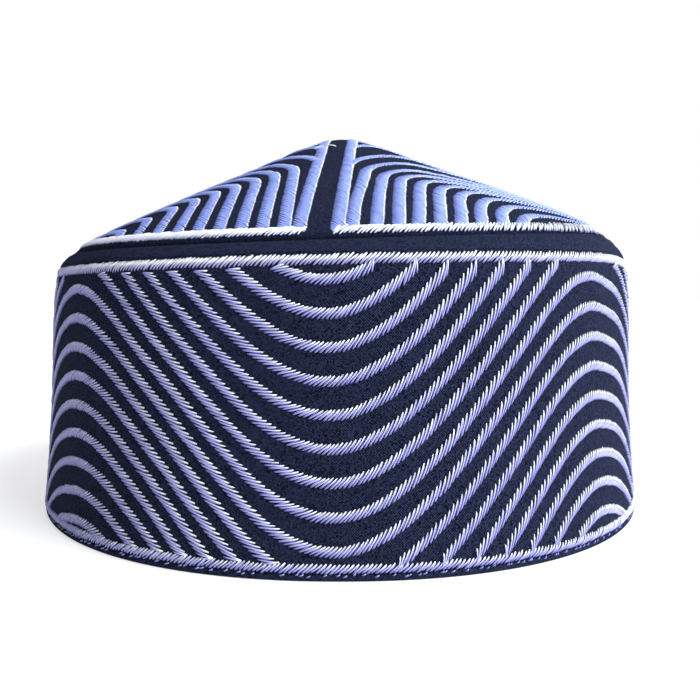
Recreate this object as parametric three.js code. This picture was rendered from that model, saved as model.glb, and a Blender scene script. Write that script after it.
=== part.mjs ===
// A peaked kufi: a stiff oval side band, a hem turned up inside its rim, a cloth roll along the
// top seam, and a low crown that rises to a rounded tip.
// Millimetres, Z up. The wearer looks along -Y, and the rim stands on the plane Z = 0.
import * as THREE from "three";

// Driving dimensions
const rimWidth = 182.8; // ear to ear, outside the band at the rim
const rimDepth = 197.4; // front to back, outside the band at the rim
const topWidth = 173.8; // ear to ear at the band's upper edge
const topDepth = 187.7; // front to back at the band's upper edge
const bandHeight = 70.4; // rim to upper edge, at the front
const bandWall = 2.2; // face cloth, stiffening and backing sewn as one
const hemHeight = 1.4; // dark edge that shows under the embroidery
const hemWall = 1.2; // cloth that is turned up inside
const hemTurnUp = 12; // how far it reaches up inside
const hemBevel = 0.4; // rounding where the fold meets the table
const rollDepth = 4.6; // seam roll, outside to inside
const rollHeight = 4.6; // seam roll at the ears, bottom to top
const rollDip = 1.9; // how much lower the roll and the crown's edge lie at front and back
const crownRise = 35.8; // crown edge to tip
const crownWall = 1.8; // quilted crown cloth
const bandLean = 1.3; // degrees that the band's upper edge tilts, +X side up
const crownLean = 1.95; // degrees that the crown and the top of the roll tilt
const seamGap = 0.3; // clearance between sewn pieces

// How finely the curves are divided
const sides = 80;
const bandSteps = 8;
const crownSteps = 13;

// Outside of the band, rim to upper edge. height is a share of bandHeight,
// flare a share of the difference between the rim's size and the top's.
const bandProfile = [
  { height: 0, flare: 1 },
  { height: 0.05, flare: 0.92 },
  { height: 0.14, flare: 0.79 },
  { height: 0.3, flare: 0.61 },
  { height: 0.5, flare: 0.44 },
  { height: 0.75, flare: 0.33 },
  { height: 0.92, flare: 0.17 },
  { height: 1, flare: 0 },
];

// Section of the seam roll, from its outer foot over the top to its inner foot. inset is a
// share of rollDepth measured inwards, height a share of the roll's height at that place.
const rollSection = [
  { inset: 0, height: 0 },
  { inset: 0.04, height: 0.22 },
  { inset: 0.14, height: 0.43 },
  { inset: 0.3, height: 0.62 },
  { inset: 0.5, height: 0.79 },
  { inset: 0.72, height: 0.92 },
  { inset: 0.9, height: 1 },
  { inset: 1, height: 0.93 },
  { inset: 1, height: 0.55 },
  { inset: 0.5, height: 0 },
];

// Outside of the crown, edge to tip. reach is a share of the crown's half size,
// rise a share of crownRise. It leaves the seam steeply, then runs almost straight.
const crownProfile = [
  { reach: 1, rise: 0 },
  { reach: 0.975, rise: 0.052 },
  { reach: 0.93, rise: 0.112 },
  { reach: 0.85, rise: 0.208 },
  { reach: 0.69, rise: 0.374 },
  { reach: 0.53, rise: 0.534 },
  { reach: 0.37, rise: 0.687 },
  { reach: 0.21, rise: 0.849 },
  { reach: 0.1, rise: 0.944 },
  { reach: 0.04, rise: 0.986 },
  { reach: 0, rise: 1 },
];

const bandSlope = Math.tan(THREE.MathUtils.degToRad(bandLean));
const crownSlope = Math.tan(THREE.MathUtils.degToRad(crownLean));

// Even steps along a smooth line through a table's rows.
function smoothLine(rows, across, up, steps) {
  const points = rows.map((row) => new THREE.Vector3(row[across], 0, row[up]));
  return new THREE.CatmullRomCurve3(points, false, "centripetal").getSpacedPoints(steps);
}

const bandLine = smoothLine(bandProfile, "flare", "height", 64);

// Share of the flare at a height above the rim.
function flareAt(z) {
  const share = THREE.MathUtils.clamp(z / bandHeight, 0, 1);
  const next = Math.max(1, bandLine.findIndex((point) => point.z >= share - 1e-9));
  const low = bandLine[next - 1];
  const high = bandLine[next];
  return THREE.MathUtils.mapLinear(share, low.z, high.z, low.x, high.x);
}

// An oval ring that lies a given inset inside the band's outer face at height z.
function bandRing(inset, z) {
  const flare = flareAt(z);
  return {
    halfWidth: THREE.MathUtils.lerp(topWidth, rimWidth, flare) / 2 - inset,
    halfDepth: THREE.MathUtils.lerp(topDepth, rimDepth, flare) / 2 - inset,
    z,
  };
}

// Joins oval rings into one closed body. A ring of no width becomes a single point, and a
// section that closes on itself joins its last ring to its first. heightAt gives a corner's
// height from its x, its frontness (1 at front and back, 0 at the ears) and its ring.
function loft(rings, closesOnItself, heightAt) {
  const positions = [];
  const starts = [];
  for (const ring of rings) {
    starts.push(positions.length / 3);
    const corners = ring.halfWidth > 0 ? sides : 1;
    for (let i = 0; i < corners; i++) {
      const angle = (2 * Math.PI * i) / sides;
      const x = ring.halfWidth * Math.sin(angle);
      const y = -ring.halfDepth * Math.cos(angle);
      positions.push(x, y, heightAt(x, Math.cos(angle) ** 2, ring));
    }
  }
  const corner = (r, i) => starts[r] + (rings[r].halfWidth > 0 ? i % sides : 0);
  const faces = [];
  const joins = closesOnItself ? rings.length : rings.length - 1;
  for (let r = 0; r < joins; r++) {
    const s = (r + 1) % rings.length;
    for (let i = 0; i < sides; i++) {
      if (rings[r].halfWidth > 0) faces.push(corner(r, i), corner(r, i + 1), corner(s, i));
      if (rings[s].halfWidth > 0) faces.push(corner(r, i + 1), corner(s, i + 1), corner(s, i));
    }
  }
  const geometry = new THREE.BufferGeometry();
  geometry.setAttribute("position", new THREE.Float32BufferAttribute(positions, 3));
  geometry.setIndex(faces);
  geometry.computeVertexNormals();
  return geometry;
}

// The band's upper edge is not level: it climbs toward +X, and lower rings climb by their share.
function bandHeightAt(x, frontness, ring) {
  return ring.z * (1 + (x * bandSlope) / bandHeight);
}

// Height of the roll's top, which is also the height of the crown's outer edge.
function seamTopAt(x, frontness) {
  return bandHeight + seamGap + rollHeight - rollDip * frontness + x * crownSlope;
}

// Hollow band wall, standing on the hem and ending under the roll.
function bandGeometry() {
  const foot = hemHeight + seamGap;
  const heights = Array.from({ length: bandSteps + 1 }, (_, i) => {
    const share = i / bandSteps;
    return foot + (bandHeight - foot) * share;
  });
  const outside = heights.map((z) => bandRing(0, z));
  const inside = heights
    .filter((_, i) => i % 2 === 0)
    .reverse()
    .map((z) => bandRing(bandWall, z));
  return loft([...outside, ...inside], true, bandHeightAt);
}

// The cloth folded under the rim: a flat foot with a flange turned up behind the band.
function hemGeometry() {
  const behindBand = bandWall + seamGap;
  const inner = behindBand + hemWall;
  const rings = [
    bandRing(hemBevel, 0),
    bandRing(0, hemBevel),
    bandRing(0, hemHeight),
    bandRing(behindBand, hemHeight),
    bandRing(behindBand, hemTurnUp),
    bandRing(inner, hemTurnUp),
    bandRing(inner, hemBevel),
    bandRing(inner - hemBevel, 0),
  ];
  return loft(rings, true, bandHeightAt);
}

// The puffed roll over the top seam, seated on the band's upper edge.
function rollGeometry() {
  const rings = rollSection.map(({ inset, height }) => ({
    halfWidth: topWidth / 2 - inset * rollDepth,
    halfDepth: topDepth / 2 - inset * rollDepth,
    share: height,
  }));
  return loft(rings, true, (x, frontness, ring) => {
    const foot = bandHeight + seamGap + x * bandSlope;
    return THREE.MathUtils.lerp(foot, seamTopAt(x, frontness), ring.share);
  });
}

// Thin peaked shell. Its cut edge faces the roll across the seam gap.
function crownGeometry() {
  const halfWidth = topWidth / 2 - rollDepth - seamGap;
  const halfDepth = topDepth / 2 - rollDepth - seamGap;
  const line = smoothLine(crownProfile, "reach", "rise", crownSteps);
  const last = line.length - 1;
  // The wall is measured square to the slope, so upright it is thicker where it is steeper.
  const uprightWall = (i) => {
    const low = line[Math.max(i - 1, 0)];
    const high = line[Math.min(i + 1, last)];
    const run = (low.x - high.x) * halfWidth;
    const climb = (high.z - low.z) * crownRise;
    return (crownWall * Math.hypot(run, climb)) / run;
  };
  const ringAt = (point, drop) => ({
    halfWidth: point.x * halfWidth,
    halfDepth: point.x * halfDepth,
    reach: point.x,
    rise: point.z * crownRise - drop,
  });
  const outside = line.map((point) => ringAt(point, 0));
  const inside = line
    .map((point, i) => ringAt(point, i === last ? crownWall : uprightWall(i)))
    .filter((_, i) => i % 2 === 0 || i === last)
    .reverse();
  // The dip at front and back fades out toward the tip.
  return loft([...outside, ...inside, outside[0]], false, (x, frontness, ring) => {
    return seamTopAt(x, frontness * ring.reach ** 3) + ring.rise;
  });
}

function clothMaterial(color, roughness) {
  return new THREE.MeshStandardMaterial({ color, roughness, metalness: 0 });
}

const twillCloth = clothMaterial(0x161a2e, 0.85);
const seamCloth = clothMaterial(0x1a1e33, 0.9);

function piece(name, geometry, material) {
  const mesh = new THREE.Mesh(geometry, material);
  mesh.name = name;
  return mesh;
}

const side = new THREE.Group();
side.add(piece("side_band", bandGeometry(), twillCloth));
side.add(piece("hem_fold", hemGeometry(), seamCloth));

const top = new THREE.Group();
top.add(piece("seam_roll", rollGeometry(), seamCloth));
top.add(piece("crown_top", crownGeometry(), twillCloth));

const kufi = new THREE.Group();
kufi.add(side, top);

export default kufi;
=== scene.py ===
import math

import bpy
import numpy as np
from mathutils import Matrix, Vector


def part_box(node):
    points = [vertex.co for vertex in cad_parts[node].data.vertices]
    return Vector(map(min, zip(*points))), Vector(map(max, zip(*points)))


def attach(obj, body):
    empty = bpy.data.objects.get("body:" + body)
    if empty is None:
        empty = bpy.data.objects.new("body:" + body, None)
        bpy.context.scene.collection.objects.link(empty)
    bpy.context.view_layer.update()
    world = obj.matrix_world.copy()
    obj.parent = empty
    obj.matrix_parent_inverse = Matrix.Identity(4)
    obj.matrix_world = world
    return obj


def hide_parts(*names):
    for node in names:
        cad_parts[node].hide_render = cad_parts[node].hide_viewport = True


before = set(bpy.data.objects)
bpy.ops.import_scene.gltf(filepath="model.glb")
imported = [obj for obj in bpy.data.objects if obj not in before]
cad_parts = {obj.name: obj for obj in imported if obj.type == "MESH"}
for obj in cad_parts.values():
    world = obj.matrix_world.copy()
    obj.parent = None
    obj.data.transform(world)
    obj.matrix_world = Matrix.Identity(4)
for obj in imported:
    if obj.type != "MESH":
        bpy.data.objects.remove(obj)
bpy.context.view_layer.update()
print("frame loaded")

# The kufi stands on its rim, front toward -Y, its outline an oval that narrows upward.
# Shapes below are worked out in millimetres and written to the meshes in metres.
# An angle goes round from the front (-Y) toward +X.
mm = 0.001
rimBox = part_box("hem_fold")
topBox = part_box("seam_roll")
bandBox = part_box("side_band")

hat = {
    "squareness": 2.12,  # of the oval, 2 is a plain ellipse
    "rimHalf": (rimBox[1].x / mm - 0.8, rimBox[1].y / mm),  # half width and half depth at the rim
    "topHalf": (topBox[1].x / mm - 1.3, topBox[1].y / mm),  # the same at the band's upper edge
    "crownHalf": (topBox[1].x / mm - 5.3, topBox[1].y / mm - 4.9),  # the same at the crown's edge
    "bandHeight": 70.4,
    "bandFoot": bandBox[0].z / mm + 0.04,
    "bandLean": math.tan(math.radians(1.3)),  # slope of the band's upper edge, +X side up
    "crownLean": math.tan(math.radians(1.95)),
    "seamGap": 0.3,
    "rollHeight": 4.6,
    "rollDip": 1.9,  # how much lower the roll lies at front and back
    "sideDip": 1.6,  # how far the upper edge hangs at the +X side
    "sideDipFrom": 64,  # the x where that starts
    "sideDipRun": 20,  # how far on it is complete
    "topShift": 0.5,  # the band's upper edge sits this far toward +X
    "crownRise": 35.8,
    # share of the height, share of the flare
    "bandProfile": [(0, 1), (0.05, 0.92), (0.14, 0.79), (0.3, 0.61), (0.5, 0.44),
                    (0.75, 0.33), (0.92, 0.17), (1, 0)],
    # share of the half size, share of the rise
    "crownProfile": [(1, 0), (0.975, 0.052), (0.93, 0.11), (0.85, 0.2), (0.69, 0.364),
                     (0.53, 0.524), (0.37, 0.68), (0.21, 0.846), (0.1, 0.944),
                     (0.04, 0.986), (0, 1)],
}


# A smooth line through points, with centripetal spacing so that it never loops.
def smoothLine(points, perSpan=12):
    points = [np.array(p, float) for p in points]
    line = []
    for i in range(len(points) - 1):
        here, there = points[i], points[i + 1]
        before = points[i - 1] if i else 2 * here - there
        after = points[i + 2] if i + 2 < len(points) else 2 * there - here
        gapBefore, gap, gapAfter = (
            max(math.sqrt(np.linalg.norm(b - a)), 1e-4)
            for a, b in ((before, here), (here, there), (there, after))
        )
        leave = (here - before) / gapBefore - (there - before) / (gapBefore + gap)
        leave = (leave + (there - here) / gap) * gap
        arrive = (there - here) / gap - (after - here) / (gap + gapAfter)
        arrive = (arrive + (after - there) / gapAfter) * gap
        for k in range(perSpan):
            t = k / perSpan
            line.append(
                (2 * t**3 - 3 * t**2 + 1) * here
                + (t**3 - 2 * t**2 + t) * leave
                + (3 * t**2 - 2 * t**3) * there
                + (t**3 - t**2) * arrive
            )
    line.append(points[-1])
    return np.array(line)


bandCurve = smoothLine(hat["bandProfile"])
crownCurve = smoothLine(hat["crownProfile"])[::-1]
crownHalf = hat["crownHalf"]


# Points of an oval at an angle, its front toward -Y.
def ovalPoint(halfWidth, halfDepth, angle):
    across, toFront = np.sin(angle), np.cos(angle)
    power = hat["squareness"]
    reach = (np.abs(across) ** power + np.abs(toFront) ** power) ** (-1 / power)
    return halfWidth * across * reach, -halfDepth * toFront * reach


def sideDip(x):
    way = np.clip((x - hat["sideDipFrom"]) / hat["sideDipRun"], 0, 1)
    return hat["sideDip"] * way**2 * (3 - 2 * way)


# Points of the band's outer face at an angle and a height before the lean.
def bandPoint(angle, z, inset=0.0):
    flare = np.interp(np.asarray(z) / hat["bandHeight"], bandCurve[:, 0], bandCurve[:, 1])
    half = [t + (r - t) * flare - inset for t, r in zip(hat["topHalf"], hat["rimHalf"])]
    x, y = ovalPoint(half[0], half[1], angle)
    upward = np.clip(np.asarray(z) / hat["bandHeight"], 0, 1)
    height = z * (1 + x * hat["bandLean"] / hat["bandHeight"]) - sideDip(x) * upward**4
    return np.stack([x + hat["topShift"] * upward**2, y, height], -1)


# Height of the roll's top and of the crown's edge. edgeShare fades the side dip inwards.
def seamTop(x, frontness, edgeShare=1.0):
    base = hat["bandHeight"] + hat["seamGap"] + hat["rollHeight"] - sideDip(x) * edgeShare
    return base - hat["rollDip"] * frontness + x * hat["crownLean"]


# How far a plan position lies from the crown's tip, as a share of the way to its edge.
def crownReach(x, y):
    power = hat["squareness"]
    return (np.abs(x / crownHalf[0]) ** power + np.abs(y / crownHalf[1]) ** power) ** (1 / power)


# Points of the crown's outer face above plan positions.
def crownPoint(x, y):
    x, y = np.asarray(x, float), np.asarray(y, float)
    reach = crownReach(x, y)
    frontness = (y / crownHalf[1]) ** 2 * reach
    rise = np.interp(reach, crownCurve[:, 0], crownCurve[:, 1]) * hat["crownRise"]
    return np.stack([x, y, seamTop(x, frontness, reach**3) + rise], -1)


# Angles round the oval for shares of its girth, so that repeats keep their length.
girthAngles = np.linspace(-2 * math.pi, 2 * math.pi, 5761)
girthPoints = bandPoint(girthAngles, hat["bandHeight"])[:, :2]
girthSteps = np.linalg.norm(np.diff(girthPoints, axis=0), axis=1)
girthShares = np.concatenate([[0], np.cumsum(girthSteps)])
girth = girthShares[-1] / 2
girthShares = girthShares / girth - 1


def angleAt(share):
    return np.interp(share, girthShares, girthAngles)


def shareAt(angle):
    return np.interp(angle, girthAngles, girthShares)


def unit(vectors):
    return vectors / np.maximum(np.linalg.norm(vectors, axis=-1, keepdims=True), 1e-9)


# Shader maths as plain expressions: a Wire is one output socket of a finish's node tree.
class Wire:
    def __init__(self, finish, socket):
        self.finish = finish
        self.socket = socket

    def maths(self, operation, first, second=0.0):
        return self.finish.maths(operation, first, second)

    def __add__(self, other):
        return self.maths("ADD", self, other)

    __radd__ = __add__

    def __sub__(self, other):
        return self.maths("SUBTRACT", self, other)

    def __rsub__(self, other):
        return self.maths("SUBTRACT", other, self)

    def __mul__(self, other):
        return self.maths("MULTIPLY", self, other)

    __rmul__ = __mul__

    def sine(self):
        return self.maths("SINE", self)

    def clipped(self):
        return self.maths("MINIMUM", self.maths("MAXIMUM", self, 0.0), 1.0)


# A material, or a world handed in as owner, that is built from nodes.
class Finish:
    def __init__(self, name, owner=None):
        self.material = owner or bpy.data.materials.new(name)
        self.material.use_nodes = True
        self.tree = self.material.node_tree
        self.tree.nodes.clear()

    # One node: its type, its settings, and the values or links of its sockets.
    def node(self, kind, settings=None, inputs=None, output=0):
        made = self.tree.nodes.new(kind)
        for key, value in (settings or {}).items():
            setattr(made, key, value)
        for key, value in (inputs or {}).items():
            if isinstance(value, Wire):
                self.tree.links.new(value.socket, made.inputs[key])
            else:
                made.inputs[key].default_value = value
        return Wire(self, made.outputs[output] if len(made.outputs) else None)

    def maths(self, operation, first, second):
        return self.node("ShaderNodeMath", {"operation": operation}, {0: first, 1: second})

    # colours, mixed by an amount from 0 to 1
    def blend(self, amount, low, high):
        low = low if isinstance(low, Wire) else (*low, 1)
        high = high if isinstance(high, Wire) else (*high, 1)
        return self.node("ShaderNodeMix", {"data_type": "RGBA"}, {0: amount, 6: low, 7: high}, 2)

    def noise(self, where, scale, detail=3.0, roughness=0.5):
        return self.node("ShaderNodeTexNoise", {}, {
            "Vector": where, "Scale": scale, "Detail": detail, "Roughness": roughness,
        })

    def bump(self, height, strength):
        return self.node("ShaderNodeBump", {}, {
            "Height": height, "Distance": 1.0, "Strength": strength,
        })

    def surface(self, inputs):
        shader = self.node("ShaderNodeBsdfPrincipled", {}, inputs)
        self.node("ShaderNodeOutputMaterial", {}, {"Surface": shader})
        return self.material


clothLook = {
    "weaveRepeat": 0.0006,  # metres after which the weave repeats, which is two threads
    "deep": (0.0012, 0.0017, 0.0062),
    "raised": (0.035, 0.045, 0.1),
    "lint": (0.14, 0.15, 0.2),
    "lintShare": 0.5,
    "bump": 0.0001,  # metres from the bottom of the weave to its top
}


# Fine woven cotton, read along the piece's own metric UV. A smoother cloth shows less weave.
def clothFinish(name, lift=1.0, smoothness=0.0):
    finish = Finish(name)
    uv = finish.node("ShaderNodeUVMap", {"uv_map": "weave"})
    place = finish.node("ShaderNodeTexCoord", output=3)
    u = finish.node("ShaderNodeSeparateXYZ", {}, {0: uv}, 0)
    v = finish.node("ShaderNodeSeparateXYZ", {}, {0: uv}, 1)
    wander = finish.noise(place, 500.0, 2.0) * 1.4  # the threads aren't quite straight
    turn = 2 * math.pi / clothLook["weaveRepeat"]
    across = (u * turn + wander).sine()
    along = (v * turn + wander).sine()
    weave = 0.5 + 0.5 * across * along
    slub = finish.noise(place, 2500.0, 1.0)  # thick and thin spots
    uneven = finish.noise(place, 55.0, 4.0, 0.6)  # broad soft changes
    shown = weave * (slub * 3.4 - 1.1).clipped() * (0.7 + 0.4 * uneven)
    tone = finish.blend((shown * (1 - smoothness) + 0.16 * smoothness).clipped(),
                        [c * lift for c in clothLook["deep"]],
                        [c * lift for c in clothLook["raised"]])
    lint = ((finish.noise(place, 2400.0, 2.0) - 0.69) * 8.0).clipped()
    tone = finish.blend(lint * clothLook["lintShare"], tone, clothLook["lint"])
    height = weave * clothLook["bump"] + uneven * (4 * clothLook["bump"])
    return finish.surface({
        "Base Color": tone,
        "Roughness": 0.8 + 0.14 * uneven,
        "Normal": finish.bump(height, 0.7),
        "Specular IOR Level": 0.03,
    })


# Satin thread, by use. Its colour is painted along each strand: painted shade at the end that
# goes down into the cloth, the thread's own colour in its middle, a painted sheen near its far
# end, and a painted highlight on the small bright turn at that end. "turn" is where that painted
# highlight begins, "depth" how far the returning strands, which lie lower, take the first colour
# as painted shade, and "shine" how glossy it is. "left" is how far the thread goes back to the
# first colour at the hat's far -X side, as painted shade, and "right" how much longer the
# painted highlight of the bright turn is at the far +X side.
threadLook = {
    "satinThread": {
        "root": (0.045, 0.05, 0.29), "body": (0.3, 0.31, 0.68), "pale": (0.6, 0.61, 0.88),
        "tip": (0.99, 0.99, 0.99), "turn": 0.76, "depth": 1.0, "shine": 1.0, "left": 0.5,
        "right": 0.24,
    },
    # its pale part is a painted sheen that whitens most of each strand
    "borderThread": {
        "root": (0.12, 0.13, 0.44), "body": (0.4, 0.39, 0.68), "pale": (0.92, 0.92, 0.93),
        "tip": (0.98, 0.98, 0.98), "turn": 0.56, "depth": 0.85, "shine": 1.0, "left": 0.5,
        "right": 0.2,
    },
    "crownThread": {
        "root": (0.12, 0.15, 0.42), "body": (0.24, 0.31, 0.72), "pale": (0.27, 0.35, 0.78),
        "tip": (0.95, 0.96, 0.98), "turn": 0.88, "depth": 0.6, "shine": 0.3, "left": 0.1,
        "right": 0.0,
    },
    # a whiter copy of the thread for the crown's ring and the loose end: painted sheen
    "sheenPaleThread": {
        "root": (0.34, 0.36, 0.62), "body": (0.76, 0.78, 0.88), "pale": (0.88, 0.88, 0.93),
        "tip": (0.97, 0.97, 0.96), "turn": 0.8, "depth": 0.8, "shine": 0.4, "left": 0.1,
        "right": 0.0,
    },
    "tackThread": {
        "root": (0.04, 0.045, 0.22), "body": (0.13, 0.15, 0.44), "pale": (0.22, 0.24, 0.6),
        "tip": (0.42, 0.44, 0.8), "turn": 0.8, "depth": 0.5, "shine": 0.3, "left": 0.3,
        "right": 0.0,
    },
}


def threadFinish(name):
    look = threadLook[name]
    finish = Finish(name)
    share = finish.node("ShaderNodeAttribute", {"attribute_name": "threadShare"}, output=2)
    tone = finish.node("ShaderNodeAttribute", {"attribute_name": "tone"}, output=2)
    shifted = share + (tone - 0.5) * 0.06
    place = finish.node("ShaderNodeTexCoord", output=3)
    across = finish.node("ShaderNodeSeparateXYZ", {}, {0: place}, 0)
    lit = (across * 28 + 2.2).clipped()  # 0 at the far -X side, which is painted in shade, 1 over the rest
    # painted shade at the end that goes into the cloth, turning into the thread's own colour
    colour = finish.blend((shifted * 4.4).clipped(), look["root"], look["body"])
    # a painted sheen over the part near the far end, faint at the far -X side
    paintedSheen = ((shifted - 0.3) * 2.2).clipped() * (0.1 + 0.9 * lit)
    colour = finish.blend(paintedSheen, colour, look["pale"])
    # painted shade on the far -X side, away from the key light
    colour = finish.blend((1 - lit) * look["left"], colour, look["root"])
    paintedHighlightReach = (across * 14 - 0.4).clipped() * look["right"]  # painted highlight, longer toward the far +X side where the light falls
    # painted highlight on the bright turn at the strand's far end, left out at the far -X side
    tipHighlight = ((shifted + paintedHighlightReach - look["turn"]) * 12).clipped()
    colour = finish.blend(tipHighlight * lit, colour, look["tip"])
    # painted shade on the returning strands, which lie lower under the others
    colour = finish.blend(((0.5 - tone) * (2 * look["depth"])).clipped(), colour, look["root"])
    fibre = finish.noise(place, 5200.0, 2.0)
    return finish.surface({
        "Base Color": colour,
        "Roughness": 0.34 + 0.16 * fibre,
        "Normal": finish.bump(fibre * 0.00005, 0.5),
        "Specular IOR Level": look["shine"],
        "Sheen Weight": 0.05,
        "Sheen Roughness": 0.3,
        "Sheen Tint": (0.8, 0.84, 1, 1),
    })


faceCloth = clothFinish("navyTwill")
liningCloth = clothFinish("navyLining", 0.8)
seamCloth = clothFinish("navySeamCloth", 1.15, 0.2)
satinThread = threadFinish("satinThread")
borderThread = threadFinish("borderThread")
crownThread = threadFinish("crownThread")
sheenPaleThread = threadFinish("sheenPaleThread")
tackThread = threadFinish("tackThread")
print("finishes made")


# A closed body through rings. A ring of one point is a pole, and the others have equal
# counts. The UV holds metres round and along.
def loftPiece(name, rings, materials, slots=None):
    count = max(len(r) for r in rings)
    starts = np.cumsum([0] + [len(r) for r in rings])
    points = np.concatenate(rings) * mm
    faces, where, marks = [], [], []
    along = [0.0]
    for low, high in zip(rings, rings[1:] + rings[:1]):
        along.append(along[-1] + float(np.linalg.norm(high - low, axis=1).mean()) * mm)
    around = np.linspace(0, girth * mm, count + 1)
    for r in range(len(rings)):
        s = (r + 1) % len(rings)
        flatLow, flatHigh = len(rings[r]) == 1, len(rings[s]) == 1
        if flatLow and flatHigh:
            continue
        for i in range(count):
            j = (i + 1) % count
            lower = [(r, 0, i, r)] if flatLow else [(r, i, i, r), (r, j, i + 1, r)]
            upper = [(s, 0, i, r + 1)] if flatHigh else [(s, j, i + 1, r + 1), (s, i, i, r + 1)]
            corners = lower + upper
            faces.append([int(starts[ring] + k) for ring, k, _, _ in corners])
            where += [(around[a], along[b]) for _, _, a, b in corners]
            marks.append(slots[r] if slots else 0)
    mesh = bpy.data.meshes.new(name)
    mesh.from_pydata(points.tolist(), [], faces)
    layer = mesh.uv_layers.new(name="weave")
    layer.data.foreach_set("uv", np.array(where, np.float32).ravel())
    for material in materials:
        mesh.materials.append(material)
    mesh.polygons.foreach_set("material_index", marks)
    mesh.polygons.foreach_set("use_smooth", [True] * len(faces))
    mesh.update()
    piece = bpy.data.objects.new(name, mesh)
    bpy.context.scene.collection.objects.link(piece)
    return piece


wave = {
    "repeats": 4,
    "start": 0.003,  # girth share by which the first trough lies left of the front
    "sway": 0.013,  # how unevenly the repeats are spread
    "rise": 50.8,  # trough to peak
    "fullness": 0.03,  # how much rounder than a plain wave
    "firstTrough": 64.8,  # height of the uppermost line's trough
    "spacing": 7.27,  # line to line, upward
    "lines": 16,
    "climb": 0.7,  # whole pattern higher toward +X
    # The stitching drifts: girth share, how much further apart the lines are there than
    # the rest, and how much lower (mm) they lie at the height called level.
    "drift": [(-0.25, 0.012, 0.98), (-0.17, 0.02, 1.29), (-0.145, 0.022, 1.29),
              (-0.1305, 0.015, 0.74), (-0.116, -0.028, -0.31), (-0.1015, -0.068, -0.84),
              (-0.087, -0.099, -0.84), (-0.0725, -0.115, -1.19), (-0.058, -0.091, -1.02),
              (-0.0435, -0.068, -0.66), (-0.029, -0.029, 0.06), (-0.0145, -0.012, 0.25),
              (0, 0.006, 0.25), (0.0145, 0.027, -0.13), (0.029, 0.041, -0.3),
              (0.0435, 0.061, -0.23), (0.058, 0.069, 0.11), (0.0725, 0.066, 0.47),
              (0.087, 0.055, -0.04), (0.1015, 0.021, -0.62), (0.116, -0.019, -0.44),
              (0.1305, -0.048, 0.74), (0.145, -0.037, 0.88), (0.17, -0.029, 0.77),
              (0.25, -0.006, 0.61)],
    "level": 29.5,
    "width": 2.35,
    "leanLevel": 47,  # degrees between strand and row where the row is level
    "leanChange": 16,  # how much less it is on a steep slope
    "steepSlope": 43,  # degrees
    "low": 3.0,  # the lines end at these heights, under the border rows
    "high": 68.0,
    "pastBack": 0.0035,  # girth share that each end of a row runs past the middle of the back
}
driftShares, driftStretch, driftDrop = np.array(wave["drift"]).T
driftKernel = np.hanning(17) / np.hanning(17).sum()  # rounds the table's corners
driftGrid = np.linspace(-0.6, 0.6, 1201)
driftTables = [
    np.convolve(np.interp(driftGrid, driftShares, values, 0, 0), driftKernel, "same")
    for values in (driftStretch, driftDrop)
]


# Height of line n at a share of the girth.
def waveLine(n, share):
    phase = wave["repeats"] * (share + wave["start"]) - wave["sway"] * np.sin(2 * math.pi * share)
    u = 1 - np.abs(2 * (phase - np.floor(phase)) - 1)
    lift = (1 - np.cos(math.pi * u)) / 2 + wave["fullness"] * np.sin(math.pi * u) ** 2
    z = wave["firstTrough"] - n * wave["spacing"]
    z = z + wave["rise"] * lift + wave["climb"] * np.sin(angleAt(share))
    near = (share + 0.5) % 1 - 0.5
    stretch, drop = (np.interp(near, driftGrid, table) for table in driftTables)
    return wave["level"] + (z - wave["level"]) * (1 + stretch) - drop


bandCloth = {
    "around": 560,
    "upward": 44,
    "inward": 10,
    "wall": 2.2,
    "setIn": 0.12,  # how far the face lies inside the outline at a line
    "puff": 0.22,  # how far the cloth stands out between the lines
    "ripple": 0.12,
    "edgeFade": 4,  # puff and ripple fade out over this height at each edge
    "liningDrift": 0.15,
}


# The face cloth puffs a little between the embroidered lines.
def bandFace(angle, z):
    share = shareAt(angle)
    fromLine = (z - waveLine(0, share)) / wave["spacing"]
    puff = bandCloth["puff"] * (0.5 - 0.5 * np.cos(2 * math.pi * fromLine))
    ripple = np.sin(5 * angle + 0.06 * z) + 0.6 * np.sin(11 * angle - 0.09 * z)
    ripple = bandCloth["ripple"] * ripple
    edge = np.minimum(z - hat["bandFoot"], hat["bandHeight"] - z)
    edge = np.clip(edge / bandCloth["edgeFade"], 0, 1)
    return bandPoint(angle, z, -(puff + 0.5 * ripple) * edge + bandCloth["setIn"])


def makeBand():
    angles = np.linspace(0, 2 * math.pi, bandCloth["around"], endpoint=False)
    foot, top, wall = hat["bandFoot"], hat["bandHeight"], bandCloth["wall"]
    rings, slots = [], []
    for z in np.linspace(foot, top, bandCloth["upward"] + 1):
        rings.append(bandFace(angles, np.full_like(angles, z)))
        slots.append(0)
    rings.append(bandPoint(angles, np.full_like(angles, top), wall / 2))
    slots.append(0)
    for z in np.linspace(top, foot, bandCloth["inward"] + 1):
        drift = bandCloth["liningDrift"] * np.sin(4 * angles + 0.05 * z)
        rings.append(bandPoint(angles, np.full_like(angles, z), wall + drift))
        slots.append(1)
    return loftPiece("bandCloth", rings, [faceCloth, liningCloth], slots)


hemFold = {
    "around": 480,
    "behind": 2.45,  # from the band's outer face in to the flange
    "wall": 1.15,
    "turnUp": 12.0,  # how far the flange reaches up inside
    "round": 0.75,  # rounding where the fold meets the table
    "roundSteps": 6,
    "edge": 0.35,  # rounding of the flange's upper edge
    "setIn": 0.05,
    "pucker": 0.07,
}


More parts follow.
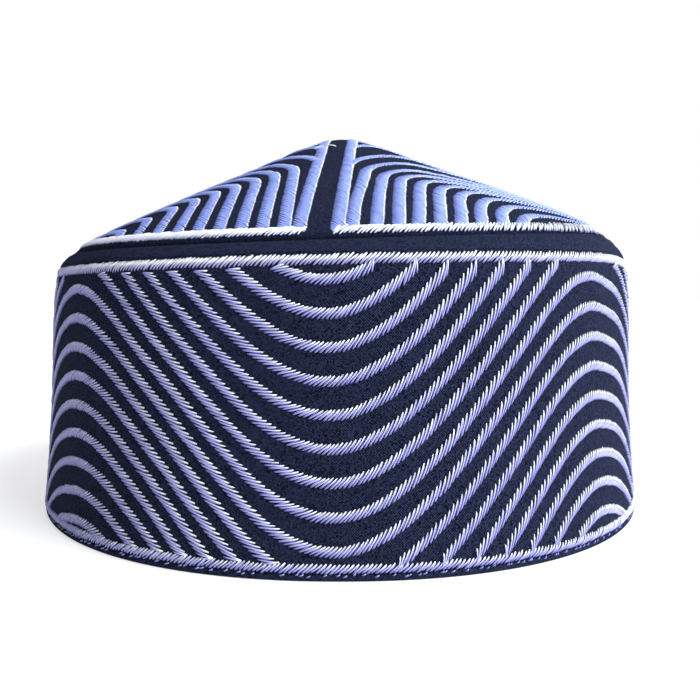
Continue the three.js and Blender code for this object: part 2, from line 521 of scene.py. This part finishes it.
def makeHem():
    angles = np.linspace(0, 2 * math.pi, hemFold["around"], endpoint=False)
    bend, edge, top = hemFold["round"], hemFold["edge"], hemFold["turnUp"]
    behind = hemFold["behind"]
    inner = behind + hemFold["wall"]
    section = []
    for k in range(hemFold["roundSteps"] + 1):
        turn = math.pi / 2 * k / hemFold["roundSteps"]
        section.append((bend * (1 - math.sin(turn)), bend * (1 - math.cos(turn))))
    # up the outer edge, in under the band, round the flange and down to the foot
    section += [(0.0, 1.1), (0.08, 1.5), (0.5, 1.62), (behind, 1.6), (behind, 6.0)]
    section += [(behind, top - 0.4), (behind + edge, top), (inner - edge, top), (inner, top - 0.4)]
    section += [(inner, 6.0), (inner, 1.0), (inner - 0.3, 0.35), (inner - 0.9, 0.0)]
    rings = []
    for inset, z in section:
        pucker = np.sin(190 * angles + 3 * np.sin(7 * angles)) * min(1, z / 0.6)
        pucker = hemFold["pucker"] * pucker * (1 if inset < behind else 0.4)
        flat = np.full_like(angles, z)
        rings.append(bandPoint(angles, flat, inset + hemFold["setIn"] + pucker))
    return loftPiece("hemCloth", rings, [seamCloth])


seamRoll = {
    "around": 480,
    # inset and height as shares, outer foot over the top to the inner foot
    "section": [(0.02, 0), (0.0, 0.04), (0.02, 0.12), (0.09, 0.24), (0.19, 0.35), (0.31, 0.47),
                (0.44, 0.59), (0.57, 0.71), (0.68, 0.82), (0.74, 0.86), (0.79, 0.84), (0.85, 0.85),
                (0.93, 0.94), (1, 0.99), (1.03, 0.93), (1, 0.4), (0.8, 0.1), (0.5, 0)],
    "setIn": 0.05,
    "wrinkle": 0.1,
}


def makeRoll():
    angles = np.linspace(0, 2 * math.pi, seamRoll["around"], endpoint=False)
    setIn = seamRoll["setIn"]
    rings = []
    for inset, height in seamRoll["section"]:
        half = [
            outer + (inner + hat["seamGap"] - outer) * inset - setIn
            for outer, inner in zip(hat["topHalf"], crownHalf)
        ]
        x, y = ovalPoint(half[0], half[1], angles)
        foot = hat["bandHeight"] - setIn + x * hat["bandLean"] - sideDip(x)
        top = seamTop(x, np.cos(angles) ** 2)
        crumple = (np.sin(46 * angles + 9 * inset + 2 * np.sin(5 * angles))
                   + 0.7 * np.sin(83 * angles - 6 * inset + 1.5 * np.sin(9 * angles))
                   + 0.5 * np.sin(17 * angles + 4 * inset))
        swell = seamRoll["wrinkle"] * crumple * math.sin(math.pi * min(1, inset + 0.1))
        x = x + hat["topShift"] * (1 - inset)
        z = foot + (top - foot) * height + (swell if height > 0.2 else 0)
        rings.append(np.stack([x, y, z], -1))
    return loftPiece("rollCloth", rings, [seamCloth])


# spread is below 1, so that the rings lie closer together at the tip than near the edge
crownCloth = {"around": 320, "steps": 56, "spread": 0.9, "inward": 14, "wall": 1.8}


def crownRing(reach, count, drop=0.0):
    angles = np.linspace(0, 2 * math.pi, count, endpoint=False)
    x, y = ovalPoint(reach * crownHalf[0], reach * crownHalf[1], angles)
    points = crownPoint(x, y)
    points[:, 2] -= drop
    return points


def makeCrown():
    count = crownCloth["around"]
    reaches = 1 - np.linspace(0, 1, crownCloth["steps"] + 1) ** crownCloth["spread"]
    rings = [crownRing(r, count if r > 0 else 1) for r in reaches]
    inner = np.linspace(0, 0.975, crownCloth["inward"])
    rings += [crownRing(r, count if r > 0 else 1, crownCloth["wall"] * 1.12) for r in inner]
    rings.append(crownRing(0.985, count, 1.0))
    slots = [0] * (crownCloth["steps"] + 1) + [1] * (crownCloth["inward"] + 1)
    return loftPiece("crownCloth", rings, [faceCloth, liningCloth], slots)


bandPiece = makeBand()
hemPiece = makeHem()
rollPiece = makeRoll()
crownPiece = makeCrown()
print("cloth made")


stitch = {
    "thickness": 0.38,  # width of a strand
    "arch": 0.36,  # how high it stands at its middle
    "sink": 0.12,  # how deep its ends go into the cloth
    "flatness": 2.6,  # 2 is a plain arch, more is flatter on top
    "taper": 0.3,  # share by which it is thinner at its ends
    "pitch": 0.73,  # strand spacing square to the strands, two strands to a pitch
    "stray": 0.07,  # how far its ends wander
    "shortest": 1.5,  # a row shorter than this is left out
    "seed": 7,
}
rng = np.random.default_rng(stitch["seed"])


# Node tree that lays one strand on every point of a mesh, along the point's own direction.
def strandTree():
    tree = bpy.data.node_groups.new("strandField", "GeometryNodeTree")
    face = tree.interface
    face.new_socket(name="Stations", in_out="INPUT", socket_type="NodeSocketGeometry")
    for name, kind, value in (
        ("Thickness", "NodeSocketFloat", stitch["thickness"] * mm),
        ("Arch", "NodeSocketFloat", stitch["arch"] * mm),
        ("Sink", "NodeSocketFloat", stitch["sink"] * mm),
        ("Flatness", "NodeSocketFloat", stitch["flatness"]),
        ("Taper", "NodeSocketFloat", stitch["taper"]),
        ("Steps", "NodeSocketInt", 6),
        ("Sides", "NodeSocketInt", 3),
        ("Seed", "NodeSocketInt", stitch["seed"]),
        ("Thread", "NodeSocketMaterial", None),
    ):
        socket = face.new_socket(name=name, in_out="INPUT", socket_type=kind)
        if value is not None:
            socket.default_value = value
    face.new_socket(name="Strands", in_out="OUTPUT", socket_type="NodeSocketGeometry")

    def add(kind, settings=None, inputs=None):
        made = tree.nodes.new(kind)
        for key, value in (settings or {}).items():
            setattr(made, key, value)
        for key, value in (inputs or {}).items():
            if isinstance(value, bpy.types.NodeSocket):
                tree.links.new(value, made.inputs[key])
            else:
                made.inputs[key].default_value = value
        return made.outputs

    def maths(operation, first, second=0.0):
        return add("ShaderNodeMath", {"operation": operation}, {0: first, 1: second})[0]

    given = tree.nodes.new("NodeGroupInput").outputs
    line = add("GeometryNodeCurvePrimitiveLine", {}, {"Start": (-0.5, 0, 0), "End": (0.5, 0, 0)})
    fine = add("GeometryNodeResampleCurve", {}, {"Curve": line["Curve"], "Count": given["Steps"]})
    share = add("GeometryNodeSplineParameter")["Factor"]
    # a flat-topped arch: one less a power of the way from the middle
    way = maths("SUBTRACT", maths("MULTIPLY", share, 2.0), 1.0)
    fall = maths("POWER", maths("ABSOLUTE", way), given["Flatness"])
    full = maths("ADD", given["Arch"], given["Sink"])
    lift = maths("MULTIPLY", maths("SUBTRACT", 1.0, fall), full)
    lift = maths("SUBTRACT", lift, given["Sink"])
    rise = add("ShaderNodeCombineXYZ", {}, {"Z": lift})[0]
    bent = add("GeometryNodeSetPosition", {}, {"Geometry": fine["Curve"], "Offset": rise})
    marked = add("GeometryNodeStoreNamedAttribute", {"data_type": "FLOAT", "domain": "POINT"},
                 {"Geometry": bent["Geometry"], "Name": "threadShare", "Value": share})
    radius = maths("MULTIPLY", given["Thickness"], 0.56)  # a prism of three sides looks thinner
    ring = add("GeometryNodeCurvePrimitiveCircle", {"mode": "RADIUS"},
               {"Resolution": given["Sides"], "Radius": radius})
    thinner = maths("SUBTRACT", 1.0, maths("MULTIPLY", fall, given["Taper"]))
    thick = add("GeometryNodeSetCurveRadius", {},
                {"Curve": marked["Geometry"], "Radius": thinner})
    strand = add("GeometryNodeCurveToMesh", {},
                 {"Curve": thick["Curve"], "Profile Curve": ring["Curve"], "Fill Caps": True})
    smooth = add("GeometryNodeSetShadeSmooth", {},
                 {"Geometry": strand["Mesh"], "Shade Smooth": True})

    def named(name, kind):
        found = add("GeometryNodeInputNamedAttribute", {"data_type": kind}, {"Name": name})
        return found["Attribute"]

    turn = add("FunctionNodeAxesToRotation", {"primary_axis": "X", "secondary_axis": "Z"},
               {"Primary Axis": named("threadDir", "FLOAT_VECTOR"),
                "Secondary Axis": named("surfaceOut", "FLOAT_VECTOR")})["Rotation"]
    vary = add("FunctionNodeRandomValue", {"data_type": "FLOAT"},
               {"Min": 0.86, "Max": 1.14, "Seed": given["Seed"]})
    width = [o for o in vary if o.enabled][0]
    # the strands that return under the others lie lower, and are painted darker as shade
    height = maths("ADD", maths("MULTIPLY", named("threadTone", "FLOAT"), 0.6), 0.48)
    length = named("threadLength", "FLOAT")
    size = add("ShaderNodeCombineXYZ", {}, {"X": length, "Y": width, "Z": height})[0]
    laid = add("GeometryNodeInstanceOnPoints", {}, {
        "Points": given["Stations"], "Instance": smooth["Geometry"], "Rotation": turn, "Scale": size,
    })
    tone = named("threadTone", "FLOAT")
    toned = add("GeometryNodeStoreNamedAttribute", {"data_type": "FLOAT", "domain": "INSTANCE"},
                {"Geometry": laid["Instances"], "Name": "tone", "Value": tone})
    real = add("GeometryNodeRealizeInstances", {}, {"Geometry": toned["Geometry"]})
    done = add("GeometryNodeSetMaterial", {},
               {"Geometry": real["Geometry"], "Material": given["Thread"]})
    end = tree.nodes.new("NodeGroupOutput")
    tree.links.new(done["Geometry"], end.inputs["Strands"])
    return tree


strands = strandTree()


# Ends of the strands of one zigzag row. The row follows path points (mm) with outward normals.
# lean is the angle in degrees between row and strand at each path point.
def zigzag(path, outward, width, lean, pitch, stray=None):
    stray = stitch["stray"] if stray is None else stray
    steps = np.linalg.norm(np.diff(path, axis=0), axis=1)
    run = np.concatenate([[0], np.cumsum(steps)])
    tangent = unit(np.gradient(path, axis=0))
    side = unit(np.cross(outward, tangent))
    lean = np.broadcast_to(np.radians(lean), run.shape)
    width = np.broadcast_to(width, run.shape)
    if run[-1] < stitch["shortest"]:
        return None
    # the strands lie closer together where the row bends, so that its outer side stays full
    bend = np.linalg.norm(np.gradient(tangent, axis=0), axis=1)
    bend = bend / np.maximum(np.gradient(run), 1e-6)
    bend = np.convolve(bend, np.hanning(11) / np.hanning(11).sum(), "same")
    gap = pitch / np.sin(lean) / (1 + bend * width / 2)
    places = []
    s = 0.0
    while s < run[-1]:
        places.append(s)
        s += np.interp(s, run, gap)
    places = np.array(places)

    def at(where, values):
        return np.stack([np.interp(where, run, values[:, c]) for c in range(3)], -1)

    def edge(where, sign):
        wander = rng.normal(0, stray, (len(where), 2))
        where = where + wander[:, 0] * 0.6
        half = np.interp(where, run, width)[:, None] / 2
        return at(where, path) + sign * at(where, side) * (half + wander[:, 1:])

    angle = np.interp(places, run, lean)
    reach = np.interp(places, run, width) / np.tan(angle)
    step = np.interp(places, run, gap)
    roots = edge(places - reach / 2, -1)
    tips = edge(places + reach / 2 + step / 2, 1)
    # each tip is reached from its own root, and again from the next one
    starts = np.concatenate([roots, roots[1:]])
    ends = np.concatenate([tips, tips[:-1]])
    normals = np.concatenate([at(places, outward), at(places[:-1], outward)])
    # tones: high for the upper strands, low for the returning ones, which the finish turns into painted
    # shade
    upper = rng.uniform(0.45, 1, len(roots))
    lower = rng.uniform(0.05, 0.4, len(roots) - 1)
    tones = np.concatenate([upper, lower])
    return starts, ends, unit(normals), tones


# One piece of embroidery from its rows of strand ends.
def strandPiece(name, rows, material, thickness=None, arch=None, steps=6):
    rows = [r for r in rows if r is not None]
    starts, ends, normals, tones = (np.concatenate([r[k] for r in rows]) for k in range(4))
    middle = (starts + ends) / 2 * mm
    span = (ends - starts) * mm
    mesh = bpy.data.meshes.new(name + "Stations")
    mesh.from_pydata(middle.tolist(), [], [])
    for attribute, kind, field, values in (
        ("threadDir", "FLOAT_VECTOR", "vector", unit(span)),
        ("surfaceOut", "FLOAT_VECTOR", "vector", normals),
        ("threadLength", "FLOAT", "value", np.linalg.norm(span, axis=1)),
        ("threadTone", "FLOAT", "value", tones),
    ):
        made = mesh.attributes.new(attribute, kind, "POINT")
        made.data.foreach_set(field, values.astype(np.float32).ravel())
    source = bpy.data.objects.new(name + "Stations", mesh)
    bpy.context.scene.collection.objects.link(source)
    modifier = source.modifiers.new("strands", "NODES")
    modifier.node_group = strands
    values = {"Thread": material, "Steps": steps}
    if thickness:
        values["Thickness"] = thickness * mm
    if arch:
        values["Arch"] = arch * mm
    for item in strands.interface.items_tree:
        if item.in_out == "INPUT" and item.name in values:
            modifier[item.identifier] = values[item.name]
    bpy.context.view_layer.update()
    evaluated = source.evaluated_get(bpy.context.evaluated_depsgraph_get())
    result = bpy.data.meshes.new_from_object(evaluated)
    result.name = name
    source.modifiers.remove(modifier)
    bpy.data.objects.remove(source)
    piece = bpy.data.objects.new(name, result)
    bpy.context.scene.collection.objects.link(piece)
    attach(piece, "root")
    triangles = sum(len(p.vertices) - 2 for p in result.polygons)
    print(name, len(middle), "strands", triangles, "triangles")


def faceNormals(angle, z):
    step = 1e-3
    alongA = bandPoint(angle + step, z) - bandPoint(angle - step, z)
    alongZ = bandPoint(angle, z + 0.05) - bandPoint(angle, z - 0.05)
    return unit(np.cross(alongA, alongZ))


def bandPath(shares, z):
    angle = angleAt(shares)
    return bandPoint(angle, z), faceNormals(angle, z)


# Girth shares once round and a little more.
def roundShares(count):
    end = 0.5 + wave["pastBack"]
    return np.linspace(-end, end, count)


# Splits the wave lines into the stretches that lie between the two border rows.
def waveRows():
    rows = []
    shares = roundShares(4029)
    for n in range(wave["lines"]):
        z = waveLine(n, shares)
        inside = (z > wave["low"]) & (z < wave["high"])
        edges = np.flatnonzero(np.diff(np.concatenate([[0], inside.astype(int), [0]])))
        for first, last in zip(edges[::2], edges[1::2]):
            if last - first < 8:  # too short to stitch
                continue
            path, out = bandPath(shares[first:last], z[first:last])
            slope = np.degrees(np.arctan2(np.gradient(z[first:last]),
                                          np.gradient(shares[first:last]) * girth))
            # the steeper the row climbs, the closer its strands lie along it
            lean = wave["leanLevel"] - wave["leanChange"] * np.abs(slope) / wave["steepSlope"]
            centre = float(shares[(first + last) // 2])
            rows.append((centre, zigzag(path, out, wave["width"], lean, stitch["pitch"])))
    return rows


rows = waveRows()
quarters = [[], [], [], []]
for centre, row in rows:
    quarters[int(((centre + 0.625) % 1) * 4)].append(row)
for name, group in zip(("Back", "Left", "Front", "Right"), quarters):
    strandPiece("waveStitches" + name, group, satinThread)

borders = {
    "topWidth": 2.3,
    "topCentre": 68.85,  # height of its middle
    "topThickness": 0.37,
    "footWidth": 1.95,
    "footCentre": 2.85,
    "lean": 47,
    "stray": 0.1,
}


def borderRow(centreZ, width):
    shares = roundShares(2015)
    path, out = bandPath(shares, np.full_like(shares, centreZ))
    return zigzag(path, out, width, borders["lean"], stitch["pitch"], borders["stray"])


topRow = borderRow(borders["topCentre"], borders["topWidth"])
strandPiece("borderStitchesTop", [topRow], borderThread, thickness=borders["topThickness"])
footRow = borderRow(borders["footCentre"], borders["footWidth"])
strandPiece("borderStitchesFoot", [footRow], satinThread)

# Small slanting stitches that hold the hem, with some missing.
hemTacks = {
    "spacing": 1.5,
    "height": 1.3,
    "length": 0.8,
    "climb": 0.35,
    "present": 0.72,  # share of them that shows
    "placeStray": 0.2,
    "heightStray": 0.14,
    "lengthRange": (0.7, 1.3),
    "thickness": 0.34,
    "arch": 0.24,
}


def hemTackRow():
    shares = np.arange(-0.5, 0.5, hemTacks["spacing"] / girth)
    wander = rng.normal(0, hemTacks["placeStray"] / girth, len(shares))
    shares = shares + wander * hemTacks["spacing"]
    shares = shares[rng.random(len(shares)) < hemTacks["present"]]
    height = hemTacks["height"] + rng.normal(0, hemTacks["heightStray"], len(shares))
    half = hemTacks["length"] / 2 / girth * rng.uniform(*hemTacks["lengthRange"], len(shares))
    starts = bandPoint(angleAt(shares - half), height)
    ends = bandPoint(angleAt(shares + half), height + hemTacks["climb"])
    return starts, ends, faceNormals(angleAt(shares), height), rng.uniform(0.4, 1, len(shares))


strandPiece("hemTacks", [hemTackRow()], tackThread, hemTacks["thickness"], hemTacks["arch"])
print("band stitches made")

crownLines = {
    "stripTurn": -3.3,  # degrees that the bare cross is turned
    "stripHalf": 4.35,  # middle of the cross to the middle of its border lines
    "width": 3.2,
    "narrowing": 0.28,  # share by which a line is narrower where it runs toward the ear
    "lengthen": 9,  # how far each line is first drawn on past its outer end
    "underRing": 0.006,  # how far past the ring's middle the lines reach under it
    "shortest": 0.9,  # a cut strand shorter than this is left out
    "borderWidth": 3.3,
    "thickness": 0.43,
    "arch": 0.22,
    "lean": 36,
    "ringCentre": 0.970,  # share of the way from the tip to the crown's edge
    "ringSway": 0.011,  # how much further out it lies at +X than in front
    "ringWidth": 3.3,
    "ringLean": 50,
    "ringStray": 0.17,
    "ringThickness": 0.4,
    "ringArch": 0.3,
    "ringBare": 2.2,  # degrees on each side of a strip's middle that the ring leaves bare
    # Right of the front strip: each nested line in plan, from the edge up its leg, round its
    # turn and out toward the ear. The last two start at the strip's border instead.
    "right": [
        [(2.7, -84), (3.6, -72), (4.7, -63.3), (6.2, -51.9), (7, -45.1), (9.3, -40.2), (12.6, -36.6),
         (16.6, -33.2), (20.6, -31.2), (24.4, -30.8), (30, -30.8), (37, -29.5), (48, -26), (78, -17.5)],
        [(8.3, -83), (9.4, -68), (10.5, -57.3), (11.2, -51), (12.4, -47.6), (15, -44), (18.6, -41.3),
         (23.5, -39.9), (30, -40), (36, -38.6), (45, -35), (58, -29), (78, -20.8)],
        [(13.2, -83), (14.4, -67.2), (15.2, -59), (15.9, -52.7), (17.2, -49.5), (19.3, -47.2),
         (22.5, -45.4), (27, -44.7), (33, -43.9), (40, -41.5), (50, -37), (62, -31.5), (76, -24)],
        [(17.8, -82), (18.9, -72), (19.7, -64), (20.5, -57), (21.6, -52.7), (23.8, -50), (26.8, -48.6),
         (30.5, -47.6), (36, -46), (44, -43), (54, -38.5), (64, -33.5), (75, -28)],
        [(22.8, -81), (23.7, -73), (24.3, -66.5), (25.1, -59.6), (26.3, -55.6), (28.4, -52.6),
         (31.4, -50.9), (35, -49.7), (40, -48), (47, -45.3), (56, -41), (65, -36.5), (74, -32)],
        [(27.8, -80), (28.7, -72.5), (29.2, -67), (30.2, -61.2), (31.8, -57.2), (34.1, -53.9),
         (37.2, -51.9), (41.5, -50.5), (46, -48.8), (53, -45.5), (61, -41.5), (72, -36)],
        [(32.8, -78), (33.6, -71), (34.6, -66), (36.6, -60.6), (39.1, -56.7), (42.2, -54.7),
         (46.2, -52.7), (50, -50.3), (55, -46.8), (60, -43.5), (70, -38)],
        [(38.2, -76), (38.9, -70.3), (40, -66.5), (41.4, -63.5), (43.6, -60.4), (46.8, -57.6),
         (50.5, -54.8), (54.3, -52), (58.8, -49), (68, -43)],
        [(43.4, -73), (44.7, -69), (47.5, -64.6), (51, -61.3), (54.5, -58.8), (58.8, -55.2), (66, -49)],
        [(1.5, -42), (3.4, -36), (6.5, -31.4), (11.1, -27.4), (17.3, -22.3), (23.7, -18.4), (34, -14.5),
         (50, -13.4), (78, -13.9)],
        [(1.5, -22), (4.5, -17.5), (9, -13.2), (15, -10.5), (24, -9.3), (34, -9.1), (50, -9.2),
         (78, -9.9)],
    ],
    # Left of it: straight legs, each turning at this place toward the ear at a slant.
    "left": [(-12.9, -33.5), (-17.9, -37.0), (-22.9, -39.6), (-28.2, -41.0), (-33.4, -42.0),
             (-38.7, -43.6), (-44.3, -45.0), (-50.4, -48.6), (-56.6, -51.5)],
    "leftSlant": 47,
    # lines that leave the strip's border
    "leftStarts": [
        [(-6.1, -37), (-6.4, -33.5), (-7.6, -30), (-9.8, -26.6), (-12.4, -24), (-15.6, -20.8),
         (-19, -17.4), (-26, -10), (-36, 0.5), (-60, 26)],
        [(-5.4, -22), (-5.7, -18.6), (-7, -15.6), (-9.4, -13), (-12.2, -10.8), (-17, -6.5), (-30, 6)],
    ],
}


def crownNormals(path):
    x, y = path[:, 0], path[:, 1]
    step = 0.3
    alongX = crownPoint(x + step, y) - crownPoint(x - step, y)
    alongY = crownPoint(x, y + step) - crownPoint(x, y - step)
    return unit(np.cross(alongX, alongY))


def reachOf(plan):
    return crownReach(plan[:, 0], plan[:, 1])


# Where the middle of the ring of border stitches lies.
def ringReach(angle):
    return crownLines["ringCentre"] + crownLines["ringSway"] * np.sin(angle)


def ringAngle(plan):
    return np.arctan2(plan[:, 0] / crownHalf[0], -plan[:, 1] / crownHalf[1])


# The same plan line with its points at even steps.
def evenly(plan, step=0.25):
    run = np.concatenate([[0], np.cumsum(np.linalg.norm(np.diff(plan, axis=0), axis=1))])
    where = np.arange(0, run[-1], step)
    return np.stack([np.interp(where, run, plan[:, c]) for c in range(2)], -1)


# Strands of one line on the crown, from its plan.
def crownRow(plan, width):
    plan = evenly(np.asarray(plan, float))
    plan = plan[reachOf(plan) < ringReach(ringAngle(plan)) + 0.06]
    if len(plan) < 12:
        return None
    path = crownPoint(plan[:, 0], plan[:, 1])
    sideways = np.abs(unit(np.gradient(path, axis=0))[:, 0])
    widths = width * (1 - crownLines["narrowing"] * sideways**1.5)
    row = zigzag(path, crownNormals(path), widths, crownLines["lean"], stitch["pitch"])
    if row is None:
        return None
    # strands that would pass the ring of border stitches end under it
    for moved, fixed in ((row[0], row[1]), (row[1], row[0])):
        limit = ringReach(ringAngle(moved)) + crownLines["underRing"]
        near, far = reachOf(fixed), reachOf(moved)
        share = np.clip((limit - near) / np.where(far > limit, far - near, 1), 0, 1)
        share = np.where(far > limit, share, 1)[:, None]
        moved += (fixed - moved) * (1 - share)
    kept = np.linalg.norm(row[0] - row[1], axis=1) > crownLines["shortest"]
    return [values[kept] for values in row] if kept.sum() > 6 else None


# Direction in plan of one arm of the bare cross.
def stripAxis(turn):
    angle = math.radians(turn + crownLines["stripTurn"])
    return np.array([math.sin(angle), -math.cos(angle)])


# The part of a plan line that lies between the two strips' borders.
def insideQuarter(plan, near, ear):
    return plan[(plan @ ear > crownLines["stripHalf"]) & (plan @ near > crownLines["stripHalf"])]


# Each left line: its leg, its turn, and its slant out toward the ear.
def leftLines():
    slant = math.radians(crownLines["leftSlant"])
    lines = []
    for x, y in crownLines["left"]:
        leg = [(x + 0.2, -88), (x + 0.25, y - 15), (x + 0.1, y - 7.5)]
        turn = [(x - 0.8, y - 2.8), (x - 2.8, y + 0.9)]
        away = [(x - 0.6 - d * math.cos(slant), y + d * math.sin(slant)) for d in (8, 14, 22, 50, 90)]
        lines.append(leg + turn + away)
    return lines + crownLines["leftStarts"]


# All rows of one quarter of the crown. side is 1 toward +X and -1 toward -X.
def quarterRows(side, back):
    near, ear = stripAxis(180 if back else 0), stripAxis(90 if side > 0 else -90)
    rows = []
    for line in (crownLines["right"] if side > 0 else leftLines()):
        line = np.array(line)
        outward = crownLines["lengthen"] * unit(line[0] - line[1])
        line = np.concatenate([[line[0] + outward], line])
        plan = smoothLine(line[::-1], 20)
        if back:
            # mirrored, then turned so that it fits the cross again
            turn = math.radians(2 * crownLines["stripTurn"])
            x, y = plan[:, 0], -plan[:, 1]
            plan = np.stack([x * math.cos(turn) - y * math.sin(turn),
                             x * math.sin(turn) + y * math.cos(turn)], -1)
        rows.append(crownRow(insideQuarter(plan, near, ear), crownLines["width"]))
    # the border of the strips, from the corner near the tip to the rim and toward the ear
    corner = crownLines["stripHalf"] * (near + ear)
    for axis in (near, ear):
        plan = np.array([corner + axis * t for t in np.linspace(-1.5, 92, 200)])
        rows.append(crownRow(plan, crownLines["borderWidth"]))
    return rows


for name, side, back in (("FrontRight", 1, False), ("FrontLeft", -1, False),
                         ("BackRight", 1, True), ("BackLeft", -1, True)):
    strandPiece("crownStitches" + name, quarterRows(side, back), crownThread,
                thickness=crownLines["thickness"], arch=crownLines["arch"], steps=5)


def ringRows():
    rows = []
    bare = crownLines["ringBare"]
    for quarter in range(4):
        strip = 90 * quarter + crownLines["stripTurn"]
        angles = np.radians(np.linspace(strip + bare, strip + 90 - bare, 500))
        reach = ringReach(angles)
        path = crownPoint(*ovalPoint(reach * crownHalf[0], reach * crownHalf[1], angles))
        rows.append(zigzag(path, crownNormals(path), crownLines["ringWidth"], crownLines["ringLean"],
                           stitch["pitch"], crownLines["ringStray"]))
    return rows


# A loose thread end lies over the strip just in front of the tip.
looseThread = {
    "x": [-7.8, -4.6, -1.2],
    "y": [-17.8, -16.2, -17.4],
    "tones": [0.9, 0.8],
    "thickness": 0.3,
    "arch": 0.45,
}
looseSpots = crownPoint(looseThread["x"], looseThread["y"])
looseEnd = (looseSpots[:2], looseSpots[1:], crownNormals(looseSpots[:2]),
            np.array(looseThread["tones"]))
strandPiece("looseEnd", [looseEnd], sheenPaleThread, looseThread["thickness"], looseThread["arch"])
strandPiece("borderStitchesCrown", ringRows(), sheenPaleThread, crownLines["ringThickness"],
            crownLines["ringArch"])
print("crown stitches made")


for piece, node, slot in ((bandPiece, "side_band", "twill"), (hemPiece, "hem_fold", "seam_cloth"),
                          (rollPiece, "seam_roll", "seam_cloth"), (crownPiece, "crown_top", "twill")):
    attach(piece, "root")
    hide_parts(node)


studio = {
    "floorSize": 9.0,
    "floorColour": (0.5, 0.5, 0.505),
    "floorMottle": (0.48, 0.48, 0.5),
    "floorGlow": 0.6,  # keeps it pale in the soft shadow
    "ambient": 0.5,
    "ambientTilt": 0.75,  # how much stronger it is from +X than from above
    "ambientLeft": (1.0, 0.96, 0.97),
    "ambientRight": (0.9, 0.95, 1.0),
    "backdrop": 1.0,
    "topStrength": 0.5,
    "topSpread": 70,
    "keyStrength": 6.0,
    "keySpread": 56,  # degrees, a wide soft source
    "keyColour": (0.93, 0.965, 1.0),
    "keyAzimuth": 68,  # degrees from the front toward +X
    "keyElevation": 35,
}

floorFinish = Finish("paleFloor")
floorPlace = floorFinish.node("ShaderNodeTexCoord", output=3)
floorGrain = floorFinish.noise(floorPlace, 180.0, 3.0)
floorTone = floorFinish.blend(floorGrain * 0.05, studio["floorColour"], studio["floorMottle"])
floorMaterial = floorFinish.surface({
    "Base Color": floorTone,
    "Roughness": 0.8 + 0.1 * floorGrain,
    "Specular IOR Level": 0.2,
    "Emission Color": (1, 1, 1, 1),
    "Emission Strength": studio["floorGlow"],
})
edge = studio["floorSize"] / 2
corners = [(-edge, -edge, 0), (edge, -edge, 0), (edge, edge, 0), (-edge, edge, 0)]
floorMesh = bpy.data.meshes.new("paleFloor")
floorMesh.from_pydata(corners, [], [(0, 1, 2, 3)])
floorMesh.materials.append(floorMaterial)
floor = bpy.data.objects.new("paleFloor", floorMesh)
bpy.context.scene.collection.objects.link(floor)

# soft light all round, stronger from +X, behind a plain backdrop that only the camera sees
world = bpy.data.worlds.new("softStudio")
sky = Finish("softStudio", world)
toward = sky.node("ShaderNodeSeparateXYZ", {}, {0: sky.node("ShaderNodeTexCoord")})
seen = sky.node("ShaderNodeLightPath")
level = sky.maths("MAXIMUM", studio["ambient"] + toward * studio["ambientTilt"], 0.04)
tint = sky.blend((toward * 0.5 + 0.5).clipped(), studio["ambientLeft"], studio["ambientRight"])
light = sky.node("ShaderNodeBackground", {}, {"Color": tint, "Strength": level})
plain = sky.node("ShaderNodeBackground", {},
                 {"Color": (1, 1, 1, 1), "Strength": studio["backdrop"]})
shown = sky.node("ShaderNodeMixShader", {}, {0: seen, 1: light, 2: plain})
sky.node("ShaderNodeOutputWorld", {}, {"Surface": shown})
bpy.context.scene.world = world
bpy.context.scene.view_settings.view_transform = "Standard"


def sunLight(name, azimuth, elevation, strength, spread, colour=(1, 1, 1)):
    light = bpy.data.lights.new(name, "SUN")
    light.energy = strength
    light.angle = math.radians(spread)
    light.color = colour
    lamp = bpy.data.objects.new(name, light)
    lamp.rotation_euler = (math.radians(90 - elevation), 0, math.radians(azimuth))
    bpy.context.scene.collection.objects.link(lamp)


sunLight("topLight", 0, 90, studio["topStrength"], studio["topSpread"])
sunLight("keyLight", studio["keyAzimuth"], studio["keyElevation"], studio["keyStrength"],
         studio["keySpread"], studio["keyColour"])

# pitch is in degrees below level, lens and sensor in millimetres
view = {"place": (0, -0.2667, 0.0616), "pitch": 4.05, "lens": 41.54, "sensor": 36, "shift": 0.014}
camera = bpy.data.cameras.new("photoCamera")
camera.lens = view["lens"]
camera.sensor_width = view["sensor"]
camera.shift_x = view["shift"]
camera.clip_start = 0.01
cameraObject = bpy.data.objects.new("photoCamera", camera)
cameraObject.location = view["place"]
cameraObject.rotation_euler = (math.radians(90 - view["pitch"]), 0, 0)
bpy.context.scene.collection.objects.link(cameraObject)
bpy.context.scene.camera = cameraObject
print("studio made")
